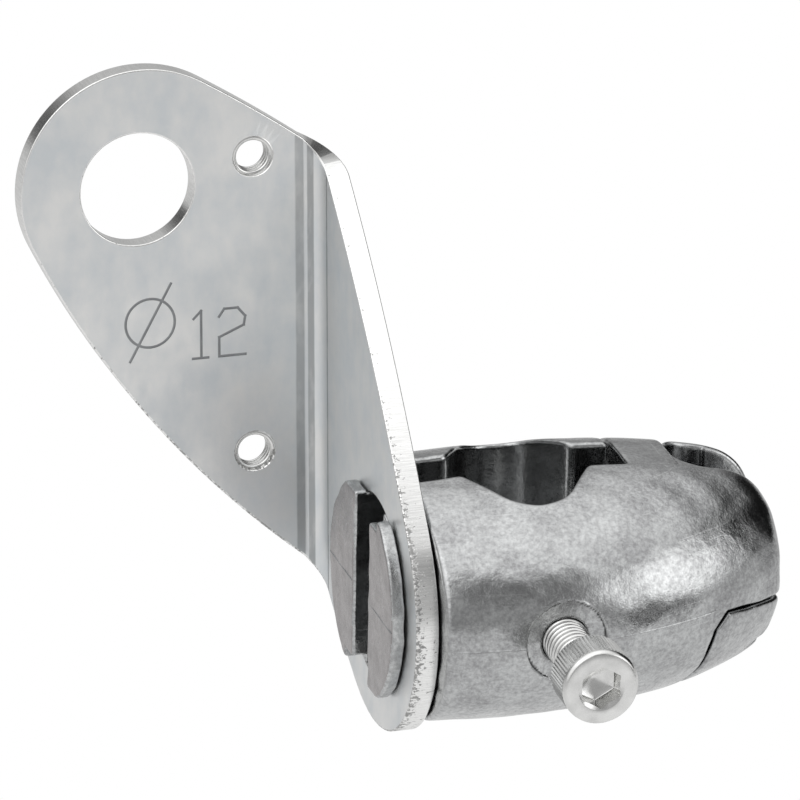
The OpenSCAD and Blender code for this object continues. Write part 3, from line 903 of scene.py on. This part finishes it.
class CLAMP_OT_parting_lines(bpy.types.Operator):
    """Make the parting lines of the castings"""

    bl_idname = "clamp.parting_lines"
    bl_label = "Parting lines"

    def execute(self, context):
        s = Sizes(context.scene)
        spot = s.spot_d / 2 + 0.2
        across = np.linspace(s.gap_half + 0.5, s.flange_r - 0.5, 12)
        face = np.full(across.shape, s.flange_x0 + 0.06)
        level = np.full(across.shape, -s.flash_drop)
        outer = [
            front_line(s, -s.shell_start + 0.4, -spot, -s.flash_drop),
            front_line(s, spot, s.finger_x - 0.5, -s.flash_drop),
        ]
        on_front = ("front_shell", "front_casting")
        parting_bead(s, "front_parting_line", outer, *on_front, "cast_zinc", s.flash)
        for side, half in ((-1, "front"), (1, "rear")):
            line = [np.stack([face, side * across, level], 1)]
            names = (half + "_shell", half + "_casting")
            parting_bead(s, half + "_hub_line", line, *names, "engraved", 0.7 * s.flash)
        return {"FINISHED"}


def lofted(rings):
    """A closed mesh through rings of points, with a centre point at each end."""
    count = len(rings[0])
    points = [p for ring in rings for p in ring]
    faces = []
    for row in range(len(rings) - 1):
        for i in range(count):
            j = (i + 1) % count
            a, b = row * count, (row + 1) * count
            faces.append((a + i, a + j, b + j, b + i))
    for ring, flip in ((0, True), (len(rings) - 1, False)):
        centre = tuple(np.mean(rings[ring], axis=0))
        points.append(centre)
        for i in range(count):
            j = (i + 1) % count
            face = (ring * count + i, ring * count + j, len(points) - 1)
            faces.append(face[::-1] if flip else face)
    mesh = bpy.data.meshes.new("loft")
    mesh.from_pydata([tuple(p) for p in points], [], faces)
    return mesh


def outward(mesh, sharp=35):
    """Merges and turns a closed mesh outwards, and shades it with its sharp edges kept."""
    work = bmesh.new()
    work.from_mesh(mesh)
    bmesh.ops.remove_doubles(work, verts=work.verts, dist=1e-7)
    bmesh.ops.recalc_face_normals(work, faces=work.faces)
    work.to_mesh(mesh)
    work.free()
    mesh.shade_smooth()
    mesh.set_sharp_from_angle(angle=math.radians(sharp))
    return mesh


def along_screw(s, radius, depth):
    """A ring of points about the screw's axis; depth runs from under the head to the tip."""
    turn = np.linspace(0, 2 * math.pi, 97)[:-1]
    head_y = (SCREW_LOW.y / MM) + s.head_h
    radius = radius(turn) if callable(radius) else np.full(turn.shape, radius)
    depth = depth(turn) if callable(depth) else np.full(turn.shape, depth)
    x, y, z = radius * np.cos(turn), head_y + depth, radius * np.sin(turn)
    return np.stack([x, y, z], 1) * MM


def hexagon(half):
    """Radius of a hexagon's outline at each angle."""

    def radius(turn):
        return half / np.cos((turn + math.pi / 6) % (math.pi / 3) - math.pi / 6)

    return radius


class CLAMP_OT_screw(bpy.types.Operator):
    """Make the socket head cap screw with its knurl and thread"""

    bl_idname = "clamp.screw"
    bl_label = "Clamp screw"

    def execute(self, context):
        s = Sizes(context.scene)
        steel = finish_of("bright_steel")
        crest, top = s.head_d / 2, -s.head_h
        root = crest - s.knurl_depth
        corner = hexagon(s.socket_af / 2)
        mouth = s.socket_af / 2 / math.cos(math.pi / 6) + 0.12

        def mouth_depth(turn):
            return top + (mouth - corner(turn)) * 0.6

        rings = [
            (2.2, -0.2),
            (3.2, -0.2),
            (3.25, 0),
            (crest - 0.45, 0),
            (root - 0.1, -0.12),
            (root, -0.3),
            (root, top + 0.95),
            (crest - 0.02, top + 0.85),
            (crest, top + 0.7),
            (crest - 0.07, top + 0.38),
            (crest - 0.3, top + 0.1),
            (crest - 0.5, top),
            (mouth + 0.08, top),
            (mouth, top + 0.03),
            (corner, mouth_depth),
            (corner, top + s.socket_depth - 0.1),
            (hexagon(s.socket_af / 2 - 0.12), top + s.socket_depth),
            (1.9, top + s.socket_depth + 0.15),
            (0.4, top + s.socket_depth + 0.9),
        ]
        head = outward(lofted([along_screw(s, r, d) for r, d in rings]), 30)
        show_piece("screw_head", head, "screw", [steel], ["clamp_screw"])

        core = s.screw_core / 2
        end = (SCREW_HIGH.y - SCREW_LOW.y) / MM - s.head_h
        rings = [(core, -0.25), (core, end - 0.75), (core - 0.1, end - 0.5)]
        rings += [(core - 0.45, end), (core - 0.7, end)]
        shank = outward(lofted([along_screw(s, r, d) for r, d in rings]))
        show_piece("screw_shank", shank, "screw", [steel])

        upright = Matrix.Rotation(-math.pi / 2, 4, "X")
        stand = Matrix.Translation((0, SCREW_LOW.y + s.head_h * MM, 0)) @ upright
        ridge, threaded = 0.4 * s.screw_pitch, end - 1.2
        sizes = {
            "Radius": (s.screw_d / 2 - ridge) * MM,
            "Height": threaded * MM,
            "Turns": threaded / s.screw_pitch,
            "Ridge": ridge * MM,
        }
        thread = grown_mesh("screw_thread", thread_tree(steel, sizes), sizes)
        thread.transform(stand @ Matrix.Translation((0, 0, 0.3 * MM)))
        show_piece("screw_thread", outward(thread, 40), "screw")

        ridge, height = 0.2, s.head_h - 1.4
        sizes = {
            "Count": s.knurl_count,
            "Radius": (crest - ridge) * MM,
            "Ridge": ridge * MM,
            "Height": height * MM,
        }
        knurl = grown_mesh("screw_knurl", knurl_tree(steel, sizes), sizes)
        knurl.transform(stand @ Matrix.Translation((0, 0, -(0.35 + height / 2) * MM)))
        show_piece("screw_knurl", outward(knurl, 20), "screw")
        return {"FINISHED"}


# ---------------------------------------------------------------- plate


def arc(centre, r, start, end, spacing):
    """Points and outward directions on an arc that runs counter-clockwise."""
    while end <= start:
        end += 2 * math.pi
    count = max(4, int(round((end - start) * r / spacing)))
    turn = np.linspace(start, end, count + 1)[:-1]
    way = np.stack([np.cos(turn), np.sin(turn)], 1)
    return np.asarray(centre) + r * way, way


def sheet_outline(s):
    """Outline of the sheet laid flat: two round ends joined by two long arcs."""
    eye = np.array([s.flat_start + s.sensor_x - s.sensor_eye_back, s.sensor_z])
    far = np.hypot(*eye)
    tilt = math.atan2(eye[1], eye[0])

    def edge_centre(r, side):
        a, b = r - s.hub_eye_r, r - s.sensor_eye_r
        u = (a * a - b * b + far * far) / (2 * far)
        v = -side * math.sqrt(a * a - u * u)
        cos, sin = math.cos(tilt), math.sin(tilt)
        return np.array([u * cos - v * sin, u * sin + v * cos])

    def way(a, b):
        return math.atan2(b[1] - a[1], b[0] - a[0])

    hub = np.zeros(2)
    upper, lower = edge_centre(s.upper_edge_r, 1), edge_centre(s.lower_edge_r, -1)
    parts = [
        arc(hub, s.hub_eye_r, way(upper, hub), way(lower, hub), 0.6),
        arc(lower, s.lower_edge_r, way(lower, hub), way(lower, eye), 1.2),
        arc(eye, s.sensor_eye_r, way(lower, eye), way(upper, eye), 0.6),
        arc(upper, s.upper_edge_r, way(upper, eye), way(upper, hub), 1.2),
    ]
    return np.concatenate([p for p, _ in parts]), np.concatenate([w for _, w in parts])


def mark_strokes(s):
    """Corners of the strokes of the engraved rod size: a crossed ring, a one and a two."""
    half = s.mark_w / 2
    ring_x, ring_z, ring_r, steps = 12.7, 5.4, 3.28, 48
    low, high = ring_r - half, ring_r + half
    quads = []
    for i in range(steps):
        a, b = (2 * math.pi * k / steps for k in (i, i + 1))
        quad = ((low, a), (high, a), (high, b), (low, b))
        quads.append([(ring_x + r * math.cos(t), ring_z + r * math.sin(t)) for r, t in quad])
    one = [(6.9, 5.4), (5.9, 6.4), (5.9, 0)]
    two = [(3.5, 5.4), (2.8, 6.4), (1, 6.4), (0, 5.2), (0.2, 4), (3.5, 2.6), (3.5, 0), (0, 0)]
    for line in ([(9.9, 10.5), (15.4, 0.4)], one, [(7, 0), (5, 0)], two):
        for a, b in zip(line, line[1:]):
            a, b = np.array(a), np.array(b)
            along = (b - a) / np.linalg.norm(b - a) * half
            over = np.array([-along[1], along[0]])
            quads.append([a - along - over, b + along - over, b + along + over, a - along + over])
    start = np.array([s.flat_start + s.mark_x, s.mark_z])
    return [[start + np.array(p) for p in quad] for quad in quads]


def fold(s, flat):
    """Folds points of the flat sheet (run, height, depth) to their place round the hub."""
    run, rise, deep = flat.T
    turn = np.clip((run - s.bend_s) / s.bend_len, 0, 1) * math.pi / 2
    r = s.bend_r + s.plate_t / 2 + deep
    x = s.bend_x + r * np.cos(turn) - np.maximum(run - s.flat_start, 0)
    y = s.bend_s + r * np.sin(turn) + np.minimum(run - s.bend_s, 0)
    cos, sin = math.cos(s.plate_swing), math.sin(s.plate_swing)
    return np.stack([x, y * cos - rise * sin, y * sin + rise * cos], 1)


def fill_face(work, layer, loops, rings, strokes, depth, groove):
    """Fills one face of the sheet between its loops, with the strokes sunk by groove."""
    points, owners, edges = [], [], []
    for loop, ring in zip(loops, rings):
        first = len(points)
        points += [Vector(p) for p in loop]
        owners += ring
        edges += [(first + i, first + (i + 1) % len(loop)) for i in range(len(loop))]
    quads = []
    for quad in strokes:
        quads.append([len(points) + i for i in range(4)])
        points += [Vector(p) for p in quad]
        owners += [None] * 4
    found, _, triangles, source, _, marked = delaunay_2d_cdt(points, edges, quads, 0, 1e-5, True)
    top, low = {}, {}

    def corner(index, sunk):
        kept = low if sunk else top
        if index not in kept:
            owner = next((owners[i] for i in source[index] if owners[i] is not None), None)
            if owner is None:
                deep = depth + (groove if sunk else 0)
                owner = work.verts.new((*found[index], deep))
                owner[layer] = (*(found[index] * MM), deep * MM)
            kept[index] = owner
        return kept[index]

    sides = {}
    holes = [(loop.mean(0), np.linalg.norm(loop[0] - loop.mean(0))) for loop in loops[1:]]
    for triangle, marks in zip(triangles, marked):
        middle = sum((found[i] for i in triangle), Vector((0, 0))) / 3
        if any((middle - Vector(c)).length < r for c, r in holes):
            continue
        sunk = bool(marks)
        face = work.faces.new([corner(i, sunk) for i in triangle])
        face.material_index = 2 if sunk else 0
        for i in range(3):
            pair = (triangle[i], triangle[(i + 1) % 3])
            sides.setdefault(frozenset(pair), []).append(sunk)
    for pair, kinds in sides.items():
        if len(kinds) == 2 and kinds[0] != kinds[1]:
            a, b = pair
            wall = work.faces.new([top[a], top[b], low[b], low[a]])
            wall.material_index = 2


def flat_sheet(s):
    """The sheet laid flat, with rounded cut edges, its holes and the engraved mark."""
    half = s.plate_t / 2
    outline, ways = sheet_outline(s)
    soft = s.face_edge
    cut = [(1.4 * soft, -half), (0.5 * soft, -half + 0.2 * soft), (0.1 * soft, -half + 0.7 * soft)]
    cut += [(0, -half + 1.3 * soft), (0, half - 1.2 * soft), (0.2 * soft, half - 0.5 * soft)]
    cut += [(0.6 * soft, half - 0.1 * soft), (1.2 * soft, half)]
    root = s.tap_root / 2
    rim = root - s.tap_d / 2 - s.tap_sink
    tapped = [(-rim + 0.05, -half), (-rim, -half + 0.04), (0, -half + 0.35), (0, half - 0.35)]
    tapped += [(-rim, half - 0.04), (-rim + 0.05, half)]
    loops = [(outline, ways, cut)]
    tap_run = s.flat_start + s.tap_x
    for centre, r, profile, spacing in (
        ((0, 0), s.hub_hole_r, cut, 0.5),
        ((s.flat_start + s.sensor_x, s.sensor_z), s.sensor_d / 2, cut, 0.4),
        ((tap_run, s.tap_z), root, tapped, 0.3),
        ((tap_run, s.tap_z + s.tap_pitch), root, tapped, 0.3),
    ):
        points, way = arc(centre, r, 0, 2 * math.pi, spacing)
        loops.append((points, -way, profile))

    work = bmesh.new()
    layer = work.verts.layers.float_vector.new("sheet")
    firsts, lasts = [], []
    for points, way, profile in loops:
        rings = []
        for inset, deep in profile:
            ring = [work.verts.new((*p, deep)) for p in points - way * inset]
            for vert in ring:
                vert[layer] = vert.co * MM
            rings.append(ring)
        count = len(points)
        for low, high in zip(rings, rings[1:]):
            for i in range(count):
                j = (i + 1) % count
                face = work.faces.new([low[i], low[j], high[j], high[i]])
                face.material_index = 1
        firsts.append((points - way * profile[0][0], rings[0]))
        lasts.append((points - way * profile[-1][0], rings[-1]))
    fill_face(work, layer, *zip(*firsts), mark_strokes(s), -half, s.mark_depth)
    fill_face(work, layer, *zip(*lasts), [], half, 0)
    for run in np.linspace(s.bend_s, s.flat_start, 13):
        cut = {"plane_co": (run, 0, 0), "plane_no": (1, 0, 0), "dist": 1e-5}
        bmesh.ops.bisect_plane(work, geom=work.verts[:] + work.edges[:] + work.faces[:], **cut)
    mesh = bpy.data.meshes.new("sheet")
    work.to_mesh(mesh)
    work.free()
    return mesh


class CLAMP_OT_plate(bpy.types.Operator):
    """Make the bent mounting plate with its holes, threads and engraved mark"""

    bl_idname = "clamp.plate"
    bl_label = "Mounting plate"

    def execute(self, context):
        s = Sizes(context.scene)
        mesh = flat_sheet(s)
        flat = np.empty(len(mesh.vertices) * 3)
        mesh.vertices.foreach_get("co", flat)
        folded = s.to_part(fold(s, flat.reshape(-1, 3)))
        mesh.vertices.foreach_set("co", folded.astype(np.float32).ravel())
        outward(mesh, 50)
        for name in ("zinc_sheet", "laser_cut", "engraved"):
            mesh.materials.append(finish_of(name))
        mesh = modified("plate", mesh, "WEIGHTED_NORMAL", keep_sharp=True, weight=100)
        show_piece("mounting_sheet", mesh, "plate", [], ["mounting_plate"])

        ridge, short = (s.tap_root - s.tap_d) / 2, 0.25
        threaded = s.plate_t - 2 * short
        sizes = {
            "Radius": s.tap_root / 2 * MM,
            "Height": threaded * MM,
            "Turns": threaded / s.tap_lead,
            "Ridge": ridge * MM,
        }
        tree = thread_tree(finish_of("bright_steel"), sizes)
        work = bmesh.new()
        for up in (0, s.tap_pitch):
            coil = grown_mesh("tapped_thread", tree, sizes)
            place = Matrix.Translation((0, AXIS_Y, 0)) @ Matrix.Rotation(s.plate_swing, 4, "X")
            at = (s.bend_x - s.tap_x, s.bend_reach + short, s.tap_z + up)
            place = place @ Matrix.Translation(Vector(at) * MM)
            coil.transform(place @ Matrix.Rotation(-math.pi / 2, 4, "X"))
            work.from_mesh(coil)
        coils = bpy.data.meshes.new("tapped_threads")
        work.to_mesh(coils)
        work.free()
        coils.materials.append(finish_of("bright_steel"))
        show_piece("tapped_threads", outward(coils, 40), "plate")
        return {"FINISHED"}


# ---------------------------------------------------------------- stage


def towards(azimuth, elevation):
    """Direction from the clamp; azimuth 0 is the front and 90 degrees its free end."""
    a, e = math.radians(azimuth), math.radians(elevation)
    return math.sin(a) * math.cos(e), -math.cos(a) * math.cos(e), math.sin(e)


def patch(nodes, way, azimuth, elevation, inner, outer):
    """1 within an angle of a direction, and 0 beyond a wider one."""
    both = {0: way, 1: towards(azimuth, elevation)}
    cosine = nodes.add("ShaderNodeVectorMath", both, operation="DOT_PRODUCT").outputs["Value"]
    return nodes.spread(cosine, math.cos(math.radians(outer)), math.cos(math.radians(inner)))


def studio_world(world):
    """Light of a studio with a soft box and dark screens, white where the camera looks."""
    world.use_nodes = True
    tree = world.node_tree
    tree.nodes.clear()
    nodes = Nodes(tree)
    way = nodes.add("ShaderNodeTexCoord").outputs["Generated"]
    height = nodes.add("ShaderNodeSeparateXYZ", {0: way}).outputs["Z"]
    ramp = nodes.add("ShaderNodeValToRGB", {"Fac": nodes.spread(height, -0.2, 1)})
    stops = ((0.0, 0.42), (0.30, 0.42), (0.55, 0.5), (0.68, 0.9), (0.85, 1.15), (1.0, 1.4))
    brightest = stops[-1][1]
    points = ramp.color_ramp.elements
    while len(points) < len(stops):
        points.new(0.5)
    for point, (position, value) in zip(points, stops):
        point.position = position
        point.color = (*[value / brightest] * 3, 1)
    light = nodes.times(ramp.outputs["Color"], brightest)
    screens = [((114, 13, 20, 40), 0.03), ((90, 22, 6, 16), 0.15), ((14, 40, 6, 20), 0.25)]
    screens += [((-150, 8, 8, 24), 0.06)]
    for screen, kept in screens:
        taken = nodes.times(patch(nodes, way, *screen), 1 - kept)
        light = nodes.times(light, nodes.math("SUBTRACT", 1.0, taken))
    soft_box, left_box = patch(nodes, way, 56, 16, 8, 24), patch(nodes, way, -70, 35, 20, 45)
    light = nodes.weigh((light, 1), (soft_box, 1.5), (left_box, 0.7))
    seen = nodes.add("ShaderNodeLightPath").outputs["Is Camera Ray"]
    studio = nodes.add("ShaderNodeBackground", {"Color": (1, 1, 1, 1), "Strength": light})
    white = nodes.add("ShaderNodeBackground", {"Color": (1, 1, 1, 1), "Strength": 1.0})
    mixed = nodes.add("ShaderNodeMixShader", {0: seen, 1: studio, 2: white})
    nodes.add("ShaderNodeOutputWorld", {"Surface": mixed})


def floor_finish():
    """Pale floor that metal reflects as a soft pool of light in front of the clamp."""
    material, nodes = new_material("floor")
    path = nodes.add("ShaderNodeLightPath").outputs
    place = nodes.add("ShaderNodeTexCoord").outputs["Object"]
    both = {0: place, 1: (0.05, -0.25, 0)}
    away = nodes.add("ShaderNodeVectorMath", both, operation="DISTANCE").outputs["Value"]
    pool = nodes.spread(away, 0.15, 0.8, 0.9, 0.6)
    strength = nodes.math("MAXIMUM", path["Is Camera Ray"], pool)
    seen = nodes.math("MAXIMUM", path["Is Camera Ray"], path["Is Glossy Ray"])
    pale = nodes.add("ShaderNodeBsdfDiffuse", {"Color": (0.8, 0.8, 0.8, 1)})
    white = nodes.add("ShaderNodeEmission", {"Color": (1, 1, 1, 1), "Strength": strength})
    mixed = nodes.add("ShaderNodeMixShader", {0: seen, 1: pale, 2: white})
    nodes.add("ShaderNodeOutputMaterial", {"Surface": mixed})
    return material


def card_finish(name, value):
    material, nodes = new_material(name)
    card = nodes.add("ShaderNodeEmission", {"Color": (1, 1, 1, 1), "Strength": value})
    nodes.add("ShaderNodeOutputMaterial", {"Surface": card})
    return material


def rectangle(name, width, height, material):
    """A flat piece of the studio that isn't part of the clamp."""
    mesh = bpy.data.meshes.new(name)
    w, h = width / 2, height / 2
    mesh.from_pydata([(-w, -h, 0), (w, -h, 0), (w, h, 0), (-w, h, 0)], [], [(0, 1, 2, 3)])
    mesh.materials.append(material)
    return placed(name, mesh)


def card(name, centre, width, height, material):
    """A card of the studio that faces the clamp, seen only in reflections and as light."""
    obj = rectangle(name, width, height, material)
    turn = (-centre).to_track_quat("Z", "Y")
    obj.matrix_world = Matrix.Translation(centre) @ turn.to_matrix().to_4x4()
    obj.visible_camera = False
    obj.visible_shadow = False


class CLAMP_OT_stage(bpy.types.Operator):
    """Make the camera, the light and the floor"""

    bl_idname = "clamp.stage"
    bl_label = "Stage"

    def execute(self, context):
        scene, t = context.scene, context.scene.clamp_stage
        back = Vector(towards(math.degrees(t.azimuth), math.degrees(t.elevation)))
        camera = bpy.data.cameras.new("camera")
        camera.lens = t.focal
        camera.sensor_width = 36
        camera.clip_start, camera.clip_end = 0.05, 20
        eye = placed("camera", camera)
        turn = back.to_track_quat("Z", "Y").to_matrix().to_4x4() @ Matrix.Rotation(t.roll, 4, "Z")
        eye.matrix_world = Matrix.Translation(Vector(t.target) + back * t.distance) @ turn
        scene.camera = eye
        scene.view_settings.view_transform = "Standard"
        scene.world = scene.world or bpy.data.worlds.new("studio")
        studio_world(scene.world)

        floor = rectangle("floor", 8, 8, floor_finish())
        floor.location.z = -t.floor_drop
        dark = card_finish("dark_screen", 0.05)
        card("dark_screen", Vector(towards(46, -12)) * 0.45, 0.16, 0.09, dark)
        return {"FINISHED"}


class CLAMP_PT_panel(bpy.types.Panel):
    """Lists the steps that make the rod clamp"""

    bl_idname = "CLAMP_PT_panel"
    bl_label = "Rod clamp"
    bl_space_type = "VIEW_3D"
    bl_region_type = "UI"
    bl_category = "Rod clamp"

    def draw(self, context):
        for operator in OPERATORS:
            self.layout.operator(operator.bl_idname)
        for name in SETTINGS:
            box = self.layout.box()
            group = getattr(context.scene, name)
            for key in group.bl_rna.properties.keys():
                if key not in {"name", "rna_type"}:
                    box.prop(group, key)


OPERATORS = (
    CLAMP_OT_stage,
    CLAMP_OT_finishes,
    CLAMP_OT_shells,
    CLAMP_OT_parting_lines,
    CLAMP_OT_screw,
    CLAMP_OT_plate,
)
SETTINGS = {**GROUPS, "clamp_finish": ClampFinish, "clamp_stage": ClampStage}


def register():
    for group in SETTINGS.values():
        bpy.utils.register_class(group)
    for cls in (*OPERATORS, CLAMP_PT_panel):
        bpy.utils.register_class(cls)
    for name, group in SETTINGS.items():
        setattr(bpy.types.Scene, name, PointerProperty(type=group))


def unregister():
    for name in SETTINGS:
        delattr(bpy.types.Scene, name)
    for cls in (CLAMP_PT_panel, *reversed(OPERATORS)):
        bpy.utils.unregister_class(cls)
    for group in reversed(SETTINGS.values()):
        bpy.utils.unregister_class(group)


def main():
    register()
    for operator in OPERATORS:
        name = operator.bl_idname.split(".")[1]
        getattr(bpy.ops.clamp, name)()


if __name__ == "__main__":
    main()
